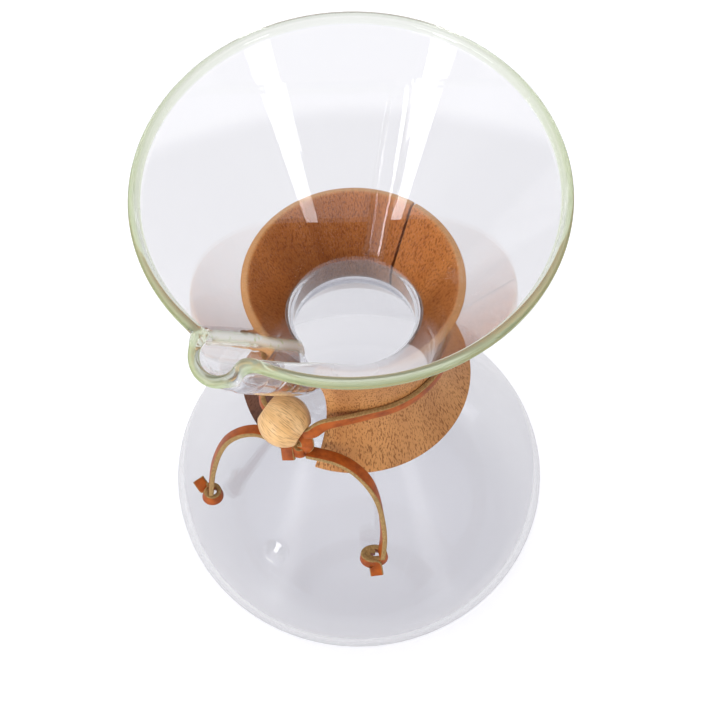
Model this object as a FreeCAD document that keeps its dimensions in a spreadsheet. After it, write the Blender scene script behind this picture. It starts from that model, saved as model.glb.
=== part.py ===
import FreeCAD, Part
import math
import os
import Sketcher

# Pour-over coffee maker: one blown glass vessel, a split wooden collar round its neck,
# and a leather lace that ties the collar and carries a wooden bead.
# Millimetres. The origin is the middle of the foot, +Z is up, and the spout faces -Y.

doc = FreeCAD.newDocument("coffee_maker")
sizes = doc.addObject("Spreadsheet::Sheet", "sizes")

driving_sizes = {
    # the glass vessel
    "total_height": 216.0,
    "foot_radius": 65.0,
    "heel_radius": 28.0,
    "glass_wall": 2.6,
    "flask_lean": 24.0,
    "neck_radius": 22.6,
    "neck_top": 143.3,
    "neck_blend": 12.0,
    "funnel_lean": 32.4,
    "rim_bead": 2.2,
    # the pouring channel, which stands out of the funnel from the lip to the neck
    "channel_root_reach": 6.0,
    "channel_lip_reach": 69.3,
    "channel_lip_radius": 8.6,
    "channel_slope": 0.6,
    "channel_low_reach": 33.0,
    "channel_low_height": 150.0,
    "channel_low_radius": 7.7,
    "channel_turn_reach": 23.5,
    "channel_turn_height": 139.0,
    "channel_turn_radius": 7.2,
    "channel_end_reach": 13.5,
    "channel_end_height": 130.5,
    "channel_end_radius": 6.4,
    "channel_twist": -1.2,
    # the channel's round end is a hair less than a half circle, so that its arc has one way round
    "channel_end_share": 1.002,
    "lip_bend": 7.3,
    "lip_bead": 1.9,
    "lip_bead_out": 0.6,
    # how far the hollows are cut past the rim
    "hollow_above": 4.0,
    "channel_above": 6.0,
    # the half-full mark, a round button of glass on the flask
    "button_height": 58.4,
    "button_radius": 4.2,
    "button_stand": 1.3,
    # the wooden collar
    "collar_top_radius": 37.9,
    "collar_top_height": 159.8,
    "collar_mouth_radius": 35.2,
    "collar_mouth_height": 162.2,
    "collar_waist_radius": 31.0,
    "collar_waist_height": 131.5,
    "collar_bore_radius": 23.3,
    "collar_bore_top": 138.8,
    "collar_bore_low": 129.0,
    "collar_skirt_radius": 36.4,
    "collar_skirt_height": 101.6,
    "collar_foot_radius": 39.0,
    "collar_foot_height": 103.5,
    "collar_edge_round": 0.9,
    "front_gap": 17.5,
    "back_gap": 0.9,
    "saw_reach": 60.0,
    # the wooden bead
    "bead_diameter": 17.5,
    "bead_hole": 8.0,
    "bead_mouth_round": 0.5,
    "bead_across": -2.5,
    "bead_reach": 38.0,
    "bead_height": 124.7,
    "bead_tilt": 15.0,
    # the flat leather lace
    "lace_width": 4.4,
    "lace_thickness": 1.7,
    "lace_wood_gap": 0.25,
    "lace_end_diameter": 3.1,
}
for row, (word, value) in enumerate(driving_sizes.items(), start=1):
    sizes.set("A%d" % row, word)
    sizes.set("B%d" % row, str(value))
    sizes.setAlias("B%d" % row, word)
doc.recompute()

YAXIS = FreeCAD.Vector(0, 1, 0)
ZAXIS = FreeCAD.Vector(0, 0, 1)


def size(word):
    return float(sizes.get(word))


def new_body(name):
    body = doc.addObject("PartDesign::Body", name)
    body.Label = name
    return body


def new_sketch(body, name, role):
    sketch = body.newObject("Sketcher::SketchObject", name)
    plane = [item for item in body.Origin.OriginFeatures if item.Role == role][0]
    sketch.AttachmentSupport = [(plane, "")]
    sketch.MapMode = "FlatFace"
    return sketch


def closed_outline(sketch, corners, rounds=None):
    """Draw an outline through corners, each (name, across, up) in expressions of the sheet.

    rounds gives the radius of the arc that leaves a named corner, and its sign says
    which way it bulges: plus bulges to the right of the way the outline runs.
    """
    rounds = rounds or {}
    places = []
    for name, across, up in corners:
        x = float(sketch.evalExpression(across))
        y = float(sketch.evalExpression(up))
        places.append(FreeCAD.Vector(x, y, 0))
    count = len(corners)
    starts, ends = [], []
    for i, (name, across, up) in enumerate(corners):
        p, q = places[i], places[(i + 1) % count]
        if name in rounds:
            radius = float(sketch.evalExpression(rounds[name][0]))
            bulge = rounds[name][1]
            half = (q - p).Length / 2
            sagitta = radius - math.sqrt(radius ** 2 - half ** 2)
            right = FreeCAD.Vector((q - p).y, -(q - p).x, 0).normalize()
            middle = (p + q) * 0.5 + right * (sagitta * bulge)
            edge = sketch.addGeometry(Part.Arc(p, middle, q), False)
            sketch.addConstraint(Sketcher.Constraint("Radius", edge, radius))
            label = name + "_round"
            sketch.renameConstraint(sketch.ConstraintCount - 1, label)
            sketch.setExpression("Constraints." + label, rounds[name][0])
        else:
            edge = sketch.addGeometry(Part.LineSegment(p, q), False)
        forward = (sketch.getPoint(edge, 1) - p).Length < (sketch.getPoint(edge, 2) - p).Length
        starts.append((edge, 1 if forward else 2))
        ends.append((edge, 2 if forward else 1))
    for i, (name, across, up) in enumerate(corners):
        edge, end = starts[i]
        last_edge, last_end = ends[i - 1]
        sketch.addConstraint(Sketcher.Constraint("Coincident", last_edge, last_end, edge, end))
        for kind, expression, value, suffix, axis in (
            ("DistanceX", across, places[i].x, "_across", -2),
            ("DistanceY", up, places[i].y, "_up", -1),
        ):
            if expression == "0":
                sketch.addConstraint(Sketcher.Constraint("PointOnObject", edge, end, axis))
                continue
            sketch.addConstraint(Sketcher.Constraint(kind, -1, 1, edge, end, value))
            sketch.renameConstraint(sketch.ConstraintCount - 1, name + suffix)
            sketch.setExpression("Constraints." + name + suffix, expression)


def turned(body, sketch, name, axis="V_Axis"):
    feature = body.newObject("PartDesign::Revolution", name)
    feature.Profile = sketch
    feature.ReferenceAxis = (sketch, [axis])
    feature.Angle = 360.0
    doc.recompute()
    return feature


def ring_edges(feature, radii):
    """Names of the circular edges whose radius is one of radii."""
    names = []
    for i, edge in enumerate(feature.Shape.Edges, start=1):
        if isinstance(edge.Curve, Part.Circle):
            if any(abs(edge.Curve.Radius - radius) < 0.01 for radius in radii):
                names.append("Edge%d" % i)
    return names


def rounded(body, feature, name, radii, radius_expression):
    fillet = body.newObject("PartDesign::Fillet", name)
    fillet.Base = (feature, ring_edges(feature, radii))
    fillet.setExpression("Radius", radius_expression)
    doc.recompute()
    return fillet


# The glass vessel.
# Places on the outside of the glass. The flask's cone is tangent to the heel, and the
# funnel's wall ends in the middle of the rolled rim.
HEEL_REACH = "sizes.foot_radius - sizes.heel_radius"
FLASK_SIN = "sin(sizes.flask_lean * 1deg)"
FLASK_COS = "cos(sizes.flask_lean * 1deg)"
FUNNEL_SIN = "sin(sizes.funnel_lean * 1deg)"
FUNNEL_COS = "cos(sizes.funnel_lean * 1deg)"
CONE_FOOT_REACH = f"({HEEL_REACH} + sizes.heel_radius * {FLASK_COS})"
CONE_FOOT_HEIGHT = f"(sizes.heel_radius * (1 + {FLASK_SIN}))"
NECK_LOW = f"({CONE_FOOT_HEIGHT} + ({CONE_FOOT_REACH} - sizes.neck_radius) * {FLASK_COS} / {FLASK_SIN})"
RIM_HEIGHT = "(sizes.total_height - sizes.rim_bead)"
FUNNEL_RUN = f"(({RIM_HEIGHT} - sizes.neck_top - sizes.glass_wall / 2 * {FUNNEL_SIN}) / {FUNNEL_COS})"
RIM_REACH = f"(sizes.neck_radius + {FUNNEL_RUN} * {FUNNEL_SIN} - sizes.glass_wall / 2 * {FUNNEL_COS})"


def vessel_outside():
    body = new_body("vessel_outside")
    sketch = new_sketch(body, "outside_outline", "XZ_Plane")
    rim_out = f"{RIM_REACH} + sizes.glass_wall / 2 * {FUNNEL_COS}"
    rim_out_up = f"{RIM_HEIGHT} - sizes.glass_wall / 2 * {FUNNEL_SIN}"
    closed_outline(sketch, [
        ("foot_middle", "0", "0"),
        ("foot_outer", HEEL_REACH, "0"),
        ("cone_foot", CONE_FOOT_REACH, CONE_FOOT_HEIGHT),
        ("neck_low", "sizes.neck_radius", NECK_LOW),
        ("neck_top", "sizes.neck_radius", "sizes.neck_top"),
        ("rim_outer", rim_out, rim_out_up),
        ("rim_middle", "0", rim_out_up),
    ], {"foot_outer": ("sizes.heel_radius", 1)})
    form = turned(body, sketch, "outside_turned")
    rounded(body, form, "outside_neck_blend", [size("neck_radius")], "sizes.neck_blend")
    return body


def vessel_hollow():
    body = new_body("vessel_hollow")
    sketch = new_sketch(body, "hollow_outline", "XZ_Plane")
    wall = "sizes.glass_wall"
    inner_heel = f"(sizes.heel_radius - {wall})"
    inner_neck = f"(sizes.neck_radius - {wall})"
    low_step = f"{wall} * tan(sizes.flask_lean * 0.5deg)"
    top_step = f"{wall} * tan(sizes.funnel_lean * 0.5deg)"
    mouth_height = "(sizes.total_height + sizes.hollow_above)"
    above = f"({mouth_height} - sizes.neck_top - {top_step})"
    closed_outline(sketch, [
        ("floor_middle", "0", wall),
        ("floor_outer", HEEL_REACH, wall),
        ("cone_foot", f"{HEEL_REACH} + {inner_heel} * {FLASK_COS}",
         f"sizes.heel_radius + {inner_heel} * {FLASK_SIN}"),
        ("neck_low", inner_neck, f"{NECK_LOW} - {low_step}"),
        ("neck_top", inner_neck, f"sizes.neck_top + {top_step}"),
        ("mouth", f"{inner_neck} + {above} * {FUNNEL_SIN} / {FUNNEL_COS}", mouth_height),
        ("mouth_middle", "0", mouth_height),
    ], {"floor_outer": (inner_heel, 1)})
    form = turned(body, sketch, "hollow_turned")
    neck = size("neck_radius") - size("glass_wall")
    rounded(body, form, "hollow_neck_blend", [neck], "sizes.neck_blend")
    return body


def fused(name, pieces):
    union = doc.addObject("Part::MultiFuse", name)
    union.Shapes = pieces
    union.Label = name
    union.Refine = True
    return union


def subtracted(name, base, tool):
    cut = doc.addObject("Part::Cut", name)
    cut.Base = base
    cut.Tool = tool
    cut.Label = name
    cut.Refine = True
    return cut


def channel_form(name, inset):
    """The channel's outside, or with inset its hollow: a trough that opens into the funnel.

    Each level section is a slot with a round outer end. The slot starts well inside the
    funnel, where the vessel's own hollow takes its root away.
    """
    body = new_body(name)
    above_reach = "sizes.channel_lip_reach + sizes.channel_above * sizes.channel_slope"
    stations = [
        ("sizes.channel_end_height", "sizes.channel_end_reach", "sizes.channel_end_radius"),
        ("sizes.channel_turn_height", "sizes.channel_turn_reach", "sizes.channel_turn_radius"),
        ("sizes.channel_low_height", "sizes.channel_low_reach", "sizes.channel_low_radius"),
        (RIM_HEIGHT, "sizes.channel_lip_reach", "sizes.channel_lip_radius"),
        (f"{RIM_HEIGHT} + sizes.channel_above", above_reach, "sizes.channel_lip_radius"),
    ]
    if inset == "0":
        stations = stations[:-1]
    sketches = []
    for i, (height, reach, radius) in enumerate(stations):
        sketch = new_sketch(body, f"{name}_level_{i}", "XY_Plane")
        sketch.setExpression(".AttachmentOffset.Base.z", height)
        half = f"({radius} - {inset})"
        closed_outline(sketch, [
            ("left_root", f"-{half}", "-sizes.channel_root_reach"),
            ("left", f"-{half}", f"-{reach}"),
            ("right", half, f"-{reach}"),
            ("right_root", half, "-sizes.channel_root_reach"),
        ], {"left": (f"{half} * sizes.channel_end_share", 1)})
        sketches.append(sketch)
    trough = body.newObject("PartDesign::AdditiveLoft", name + "_trough")
    trough.Profile = sketches[0]
    trough.Sections = sketches[1:]
    trough.Ruled = True
    doc.recompute()
    body.Placement = FreeCAD.Placement(FreeCAD.Vector(), FreeCAD.Rotation(ZAXIS, size("channel_twist")))
    return body


def vessel():
    outside = vessel_outside()
    hollow = vessel_hollow()
    channel = channel_form("channel_outside", "0")
    channel_hollow = channel_form("channel_hollow", "sizes.glass_wall")
    button = doc.addObject("Part::Sphere", "button")
    cone_rise = f"(sizes.button_height - {CONE_FOOT_HEIGHT})"
    cone_reach = f"({CONE_FOOT_REACH} - {cone_rise} * {FLASK_SIN} / {FLASK_COS})"
    button.setExpression("Radius", "sizes.button_radius")
    button.setExpression(".Placement.Base.y", f"-({cone_reach} - sizes.button_radius + sizes.button_stand)")
    button.setExpression(".Placement.Base.z", "sizes.button_height")
    blank = fused("vessel_blank", [outside, channel, button])
    opened = subtracted("vessel_channel_cut", blank, channel_hollow)
    shell = subtracted("vessel_shell", opened, hollow)
    rim = doc.addObject("Part::Torus", "rim_roll")
    rim.setExpression("Radius1", RIM_REACH)
    rim.setExpression("Radius2", "sizes.rim_bead")
    rim.setExpression(".Placement.Base.z", RIM_HEIGHT)
    open_rim = subtracted("rim_roll_open", rim, channel_hollow)
    doc.recompute()
    lip = lip_roll(rim.Radius1.Value)
    return fused("glass_carafe", [shell, open_rim, lip])


def lip_roll(rim_reach):
    """The rolled edge round the lip: a round bar along a U that ends in the rim."""
    bend = size("lip_bend")
    middle = size("channel_lip_reach") + size("lip_bead_out")
    up = size("total_height") - size("rim_bead")
    root = math.sqrt(rim_reach ** 2 - bend ** 2)
    left, tip, right = (FreeCAD.Vector(x, y, up) for x, y in (
        (-bend, -middle), (0, -middle - bend), (bend, -middle)))
    path = Part.Wire([
        Part.LineSegment(FreeCAD.Vector(-bend, -root, up), left).toShape(),
        Part.Arc(left, tip, right).toShape(),
        Part.LineSegment(right, FreeCAD.Vector(bend, -root, up)).toShape(),
    ])
    section = Part.Wire([Part.Circle(path.Vertexes[0].Point, YAXIS, size("lip_bead")).toShape()])
    lip = doc.addObject("Part::Feature", "lip_roll")
    lip.Shape = path.makePipeShell([section], True, False)
    lip.Placement = FreeCAD.Placement(FreeCAD.Vector(), FreeCAD.Rotation(ZAXIS, size("channel_twist")))
    return lip


# The wooden collar: a turned hourglass ring, sawn into a left and a right half.
def waist_round(end):
    """Radius of the arc that runs straight up at the waist and ends at the foot or the top."""
    rise = f"(sizes.collar_{end}_height - sizes.collar_waist_height)"
    reach = f"(sizes.collar_{end}_radius - sizes.collar_waist_radius)"
    return f"({rise} ^ 2 + {reach} ^ 2) / (2 * {reach})"


def collar_half(name, side):
    body = new_body(name)
    # the outline is turned from the back, so that the ring's seam is in the sawn gap
    sketch = new_sketch(body, name + "_outline", "YZ_Plane")
    waist = ("sizes.collar_waist_radius", "sizes.collar_waist_height")
    # the outside is one hollow curve, from the foot through the waist to the top
    low_round, top_round = waist_round("foot"), waist_round("top")
    closed_outline(sketch, [
        ("skirt", "sizes.collar_skirt_radius", "sizes.collar_skirt_height"),
        ("foot", "sizes.collar_foot_radius", "sizes.collar_foot_height"),
        ("waist", *waist),
        ("top", "sizes.collar_top_radius", "sizes.collar_top_height"),
        ("mouth", "sizes.collar_mouth_radius", "sizes.collar_mouth_height"),
        ("bore_top", "sizes.collar_bore_radius", "sizes.collar_bore_top"),
        ("bore_low", "sizes.collar_bore_radius", "sizes.collar_bore_low"),
    ], {"foot": (low_round, -1), "waist": (top_round, -1)})
    ring = turned(body, sketch, name + "_turned")
    edges = [size("collar_" + word + "_radius") for word in ("skirt", "foot", "top", "mouth")]
    ring = rounded(body, ring, name + "_edges", edges, "sizes.collar_edge_round")
    whole = ring.Shape.Volume
    saw = new_sketch(body, name + "_saw_lines", "XY_Plane")
    far = "sizes.saw_reach"
    sign = "" if side > 0 else "-"
    away = "-" if side > 0 else ""
    closed_outline(saw, [
        ("far_front", f"{away}{far}", f"-{far}"),
        ("front", f"{sign}sizes.front_gap / 2", f"-{far}"),
        ("front_middle", f"{sign}sizes.front_gap / 2", "0"),
        ("back_middle", f"{sign}sizes.back_gap / 2", "0"),
        ("back", f"{sign}sizes.back_gap / 2", far),
        ("far_back", f"{away}{far}", far),
    ])
    cut = body.newObject("PartDesign::Pocket", name + "_sawn")
    cut.Profile = saw
    cut.Type = 1
    cut.Reversed = True
    doc.recompute()
    print(name, "volume", round(whole), "sawn to", round(cut.Shape.Volume))
    assert cut.Shape.Volume < whole / 2
    return body


# The wooden bead: a turned ball with a straight hole along its own X axis.
def bead():
    body = new_body("bead")
    sketch = new_sketch(body, "bead_outline", "XZ_Plane")
    half = "sqrt((sizes.bead_diameter / 2) ^ 2 - (sizes.bead_hole / 2) ^ 2)"
    closed_outline(sketch, [
        ("left", f"-{half}", "sizes.bead_hole / 2"),
        ("crown", "0", "sizes.bead_diameter / 2"),
        ("right", half, "sizes.bead_hole / 2"),
    ], {"left": ("sizes.bead_diameter / 2", -1), "crown": ("sizes.bead_diameter / 2", -1)})
    ball = turned(body, sketch, "bead_turned", "H_Axis")
    rounded(body, ball, "bead_mouths", [size("bead_hole") / 2], "sizes.bead_mouth_round")
    body.Placement = FreeCAD.Placement(FreeCAD.Vector(), FreeCAD.Rotation(YAXIS, size("bead_tilt")))
    body.setExpression(".Placement.Base.x", "sizes.bead_across")
    body.setExpression(".Placement.Base.y", "-sizes.bead_reach")
    body.setExpression(".Placement.Base.z", "sizes.bead_height")
    body.setExpression(".Placement.Rotation.Angle", "sizes.bead_tilt * 1deg")
    return body


# The leather lace. It runs round the collar's waist, goes through the bead, and its two
# ends leave one knot beside the bead's lower mouth.
def ribbon(route, width, thickness):
    """A flat strap whose middle line follows route, standing on edge."""
    wires = []
    for i, point in enumerate(route):
        before = route[max(i - 1, 0)]
        after = route[min(i + 1, len(route) - 1)]
        along = (after - before).normalize()
        side = along.cross(ZAXIS).normalize()
        across = side.cross(along).normalize()
        corners = [point + across * (a * width / 2) + side * (b * thickness / 2)
                   for a, b in ((1, 1), (1, -1), (-1, -1), (-1, 1))]
        wires.append(Part.makePolygon(corners + corners[:1]))
    return Part.makeLoft(wires, True, True)


def bead_place(along, across=0.0, lift=0.0):
    """A point given from the bead's centre: along its hole, towards -Y and across its hole."""
    return doc.getObject("bead").Placement.multVec(FreeCAD.Vector(along, -across, lift))


# the band lies round the waist from the first angle to the last, in degrees from +X
BAND_TURN = {"first": -48, "last": 222, "step": 10}
# the right strand sinks from the bead's lower mouth, as places in the bead, up to the waist
RIGHT_STRAND_IN_BEAD = [(-1.6, 0, 1.2), (0.6, -0.6, 1.7)]
RIGHT_STRAND = [(9.0, -34.6, 127.2), (14.3, -30.9, 129.6), (18.4, -27.2, 130.9)]
# the left strand goes from the waist into the upper mouth and right through the bead
LEFT_STRAND = [(-20.9, -25.4, 131.2), (-16.8, -30.8, 130.2), (-13.4, -35.3, 128.7)]
LEFT_STRAND_ENTRY = 0.4
STRAND_STOP = (-2.6, 0, -0.4)


def waist_band():
    middle = (size("collar_waist_radius") + size("lace_wood_gap") + size("lace_thickness") / 2)
    height = size("collar_waist_height")
    mouth = size("bead_diameter") / 2
    loop = []
    for degrees in range(BAND_TURN["first"], BAND_TURN["last"] + 1, BAND_TURN["step"]):
        angle = math.radians(degrees)
        loop.append(FreeCAD.Vector(middle * math.cos(angle), middle * math.sin(angle), height))
    right = [bead_place(mouth + along, across, lift) for along, across, lift in RIGHT_STRAND_IN_BEAD]
    right += [FreeCAD.Vector(*place) for place in RIGHT_STRAND]
    left = [FreeCAD.Vector(*place) for place in LEFT_STRAND]
    along, across, lift = STRAND_STOP
    left += [bead_place(-mouth + LEFT_STRAND_ENTRY), bead_place(-mouth / 2)]
    left.append(bead_place(mouth + along, across, lift))
    width, thickness = size("lace_width"), size("lace_thickness")
    band = doc.addObject("Part::Feature", "tie_waist_band")
    band.Shape = ribbon(right + loop + left, width, thickness)
    return band


def oval(middle, radii):
    ball = Part.makeSphere(1.0)
    stretch = FreeCAD.Matrix()
    stretch.scale(FreeCAD.Vector(*radii))
    ball = ball.transformGeometry(stretch)
    ball.translate(middle)
    return ball


# the main knot's middle and its half sizes, the drop that hangs out of the bead to it,
# and the stub that stands out of it, both as places from the mouth and from the knot
KNOT_MIDDLE = FreeCAD.Vector(3.9, -38.6, 113.2)
KNOT_HALF_SIZES = (3.7, 3.3, 3.3)
DROP_IN_BEAD = [STRAND_STOP, (-0.4, 0, -0.8), (1.3, 0.2, -2.6)]
DROP_FROM_KNOT = [(3.0, -0.1, 4.0), (0.9, 0, 0.8)]
STUB_FROM_KNOT = [(0, 0, 0), (-2.6, -1.2, -2.4), (-4.4, -1.9, -7.0)]


def knot(band):
    """The main knot: a drop of lace out of the bead's mouth, the knot, and a folded stub."""
    width, thickness = size("lace_width"), size("lace_thickness")
    mouth = size("bead_diameter") / 2
    drop_route = [bead_place(mouth + along, across, lift) for along, across, lift in DROP_IN_BEAD]
    drop_route += [KNOT_MIDDLE + FreeCAD.Vector(*step) for step in DROP_FROM_KNOT]
    drop = ribbon(drop_route, width, thickness)
    stub = ribbon([KNOT_MIDDLE + FreeCAD.Vector(*step) for step in STUB_FROM_KNOT], width, 2 * thickness)
    solid = oval(KNOT_MIDDLE, KNOT_HALF_SIZES).fuse([drop, stub]).removeSplitter()
    piece = doc.addObject("Part::Feature", "tie_knot")
    piece.Shape = solid.cut(band.Shape)
    return piece


LEFT_END_ROUTE = [
    (0.9, -39.3, 112.4), (-4.2, -40.0, 111.6), (-10.2, -41.2, 112.3), (-15.7, -43.8, 111.6),
    (-20.0, -46.0, 107.6), (-23.0, -47.2, 99.5), (-25.2, -48.2, 89.5), (-26.9, -48.9, 78.5),
    (-27.9, -49.6, 66.6),
]
RIGHT_END_ROUTE = [
    (6.7, -38.4, 113.0), (11.4, -37.2, 114.0), (17.0, -35.6, 114.2), (22.6, -34.8, 112.6),
    (28.0, -35.0, 109.4), (31.6, -35.4, 103.2), (33.6, -35.9, 95.0), (35.4, -37.2, 86.5),
    (36.5, -38.7, 79.5), (35.1, -41.1, 72.4),
]
# the share of the shorter run that an arc takes up at each corner of a route
CORNER_SHARE = 0.45
# each end's knot: its middle, its half sizes, and its cut tail's tip from the middle
END_KNOTS = {
    "left": ((-27.9, -49.7, 64.6), (3.7, 3.5, 3.3), (-3.2, 0.6, 6.2)),
    "right": ((34.7, -41.7, 70.6), (4.5, 3.5, 3.3), (-4.2, -2.2, -5.2)),
}


def tube(points, diameter):
    """A round tube along straight runs joined by tangent arcs. Prints the arcs' radii."""
    places = [FreeCAD.Vector(*point) for point in points]
    edges, radii = [], []
    start = places[0]
    for before, corner, after in zip(places, places[1:], places[2:]):
        back, ahead = before - corner, after - corner
        shorter = min(back.Length, ahead.Length)
        back.normalize()
        ahead.normalize()
        reach = CORNER_SHARE * shorter
        half_turn = (math.pi - back.getAngle(ahead)) / 2
        radius = reach / math.tan(half_turn)
        radii.append(round(radius, 1))
        entry, leave = corner + back * reach, corner + ahead * reach
        inward = (back + ahead).normalize()
        middle = corner + inward * (radius / math.cos(half_turn) - radius)
        edges.append(Part.LineSegment(start, entry).toShape())
        edges.append(Part.Arc(entry, middle, leave).toShape())
        start = leave
    edges.append(Part.LineSegment(start, places[-1]).toShape())
    path = Part.Wire(edges)
    section = Part.Wire([Part.Circle(places[0], places[1] - places[0], diameter / 2).toShape()])
    solid = path.makePipeShell([section], True, False)
    ratio = solid.Volume / (math.pi * diameter ** 2 / 4 * path.Length)
    print("tube length", round(path.Length, 1), "radii", radii, "volume ratio", round(ratio, 3))
    return solid


def lace_end(name, points, knot_shape, end_knot):
    piece = doc.addObject("Part::Feature", name)
    piece.Shape = tube(points, size("lace_end_diameter")).cut(knot_shape).cut(end_knot.Shape)
    return piece


def end_knot(name, middle, radii, tail):
    """A lace end's knot with the cut tail that stands out of it."""
    centre = FreeCAD.Vector(*middle)
    tip = centre + FreeCAD.Vector(*tail)
    strap = ribbon([centre, (centre + tip) * 0.5, tip], size("lace_width"), size("lace_thickness"))
    piece = doc.addObject("Part::Feature", name)
    piece.Shape = oval(centre, radii).fuse(strap).removeSplitter()
    return piece


glass = vessel()
pieces = [glass, collar_half("collar_half_left", -1), collar_half("collar_half_right", 1), bead()]
doc.recompute()
band = waist_band()
main_knot = knot(band)
left_knot = end_knot("tie_end_knot_left", *END_KNOTS["left"])
right_knot = end_knot("tie_end_knot_right", *END_KNOTS["right"])
pieces += [band, main_knot, left_knot, right_knot]
pieces.append(lace_end("tie_end_left", LEFT_END_ROUTE, main_knot.Shape, left_knot))
pieces.append(lace_end("tie_end_right", RIGHT_END_ROUTE, main_knot.Shape, right_knot))
doc.recompute()

for item in doc.Objects:
    bad = [state for state in item.State if state in ("Invalid", "Error")]
    if bad:
        raise RuntimeError("%s is %s" % (item.Label, bad))
for piece in pieces:
    shape = piece.Shape
    if shape.isNull() or not shape.isValid() or len(shape.Solids) != 1:
        raise RuntimeError("%s has no single valid solid" % piece.Label)

# the collar's halves mirror each other, and each lace end meets its two knots
halves = [piece.Shape.Volume for piece in pieces if piece.Label.startswith("collar_half")]
assert abs(halves[0] - halves[1]) < 1, halves
ends = {piece.Label: piece.Shape for piece in pieces}
for side in ("left", "right"):
    for knot_name in ("tie_knot", "tie_end_knot_" + side):
        gap = ends["tie_end_" + side].distToShape(ends[knot_name])[0]
        assert gap < 0.01, (side, knot_name, gap)

os.makedirs("parts", exist_ok=True)
for piece in pieces:
    box = piece.Shape.BoundBox
    print(piece.Label, "volume", round(piece.Shape.Volume), "box",
          [round(v, 1) for v in (box.XMin, box.YMin, box.ZMin, box.XMax, box.YMax, box.ZMax)])
    piece.Shape.exportStep("parts/%s.step" % piece.Label)
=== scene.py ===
import math

import bmesh
import bpy
import numpy as np
from mathutils import Matrix, Vector


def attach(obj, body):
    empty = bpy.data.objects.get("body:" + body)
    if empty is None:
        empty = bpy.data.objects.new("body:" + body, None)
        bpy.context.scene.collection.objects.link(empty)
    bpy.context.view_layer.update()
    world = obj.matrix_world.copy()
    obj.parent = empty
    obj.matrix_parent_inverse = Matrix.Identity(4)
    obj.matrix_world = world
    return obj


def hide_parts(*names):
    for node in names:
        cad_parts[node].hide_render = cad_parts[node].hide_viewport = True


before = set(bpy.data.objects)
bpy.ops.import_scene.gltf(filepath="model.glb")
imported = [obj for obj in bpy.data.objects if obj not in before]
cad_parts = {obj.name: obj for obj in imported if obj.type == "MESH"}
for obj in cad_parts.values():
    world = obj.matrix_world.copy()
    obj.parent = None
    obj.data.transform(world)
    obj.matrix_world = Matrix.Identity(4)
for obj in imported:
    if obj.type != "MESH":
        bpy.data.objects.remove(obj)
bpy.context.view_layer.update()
mm = 0.001

# the camera looks down past the lip, a little to its right
camera = {
    "place": (0.27742, -0.39620, 0.96463),
    "turn": 35.0,
    "pitch": 60.46,
    "yaw": -0.086,
    "roll": -1.693,
    "lens": 146.3,
    "sensor": 36.0,
    "farClip": 20.0,
}


def makeCamera():
    pitch, yaw, roll = (math.radians(camera[k]) for k in ("pitch", "yaw", "roll"))
    right = Vector((1, 0, 0))
    ahead = Vector((0, math.cos(pitch), -math.sin(pitch)))
    up = Vector((0, math.sin(pitch), math.cos(pitch)))
    side = right * math.cos(yaw) + ahead * math.sin(yaw)
    look = ahead * math.cos(yaw) - right * math.sin(yaw)
    across = side * math.cos(roll) + up * math.sin(roll)
    top = up * math.cos(roll) - side * math.sin(roll)
    axes = Matrix((across, top, -look)).transposed().to_4x4()
    data = bpy.data.cameras.new("camera")
    data.lens = camera["lens"]
    data.sensor_width = camera["sensor"]
    data.clip_end = camera["farClip"]
    seen = bpy.data.objects.new("camera", data)
    turned = Matrix.Rotation(math.radians(camera["turn"]), 4, "Z") @ axes
    seen.matrix_world = Matrix.Translation(camera["place"]) @ turned
    bpy.context.collection.objects.link(seen)
    bpy.context.scene.camera = seen


makeCamera()
print("camera ready")


# helpers that the materials share

def newGroup(name, inputs, outputs):
    group = bpy.data.node_groups.new(name, "ShaderNodeTree")
    for word, kind, value in inputs:
        socket = group.interface.new_socket(word, in_out="INPUT", socket_type=kind)
        socket.default_value = value
    for word, kind in outputs:
        group.interface.new_socket(word, in_out="OUTPUT", socket_type=kind)
    return group, group.nodes.new("NodeGroupInput"), group.nodes.new("NodeGroupOutput")


def newMaterial(name):
    material = bpy.data.materials.new(name)
    material.use_nodes = True
    tree = material.node_tree
    return material, tree, tree.nodes["Principled BSDF"]


def addNode(tree, kind, settings=None, links=None):
    node = tree.nodes.new(kind)
    for word, value in (settings or {}).items():
        if hasattr(node, word):
            setattr(node, word, value)
        else:
            node.inputs[word].default_value = value
    for word, source in (links or {}).items():
        tree.links.new(source, node.inputs[word])
    return node


def objectPlace(tree):
    return addNode(tree, "ShaderNodeTexCoord").outputs["Object"]


def painted(tree, layer):
    return addNode(tree, "ShaderNodeAttribute", {"attribute_name": layer}).outputs["Fac"]


def clouds(tree, place, scale, detail=2.0, roughness=0.5):
    settings = {"Scale": scale, "Detail": detail, "Roughness": roughness}
    return addNode(tree, "ShaderNodeTexNoise", settings, {"Vector": place}).outputs["Fac"]


def ramp(tree, source, stops):
    node = addNode(tree, "ShaderNodeValToRGB", links={"Fac": source})
    while len(node.color_ramp.elements) < len(stops):
        node.color_ramp.elements.new(0.5)
    for element, (place, colour) in zip(node.color_ramp.elements, stops):
        element.position = place
        element.color = (*colour, 1)
    return node.outputs["Color"]


def maths(tree, operation, *terms):
    node = addNode(tree, "ShaderNodeMath", {"operation": operation})
    for socket, term in zip(node.inputs, terms):
        if isinstance(term, (int, float)):
            socket.default_value = term
        else:
            tree.links.new(term, socket)
    return node.outputs["Value"]


def mixColours(tree, factor, a, b, blend="MIX"):
    node = addNode(tree, "ShaderNodeMix", {"data_type": "RGBA", "blend_type": blend})
    for word, term in (("Factor", factor), ("A", a), ("B", b)):
        if isinstance(term, (tuple, list)):
            node.inputs[word].default_value = (*term[:3], 1)
        elif isinstance(term, (int, float)):
            node.inputs[word].default_value = term
        else:
            tree.links.new(term, node.inputs[word])
    return node.outputs["Result"]


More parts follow.
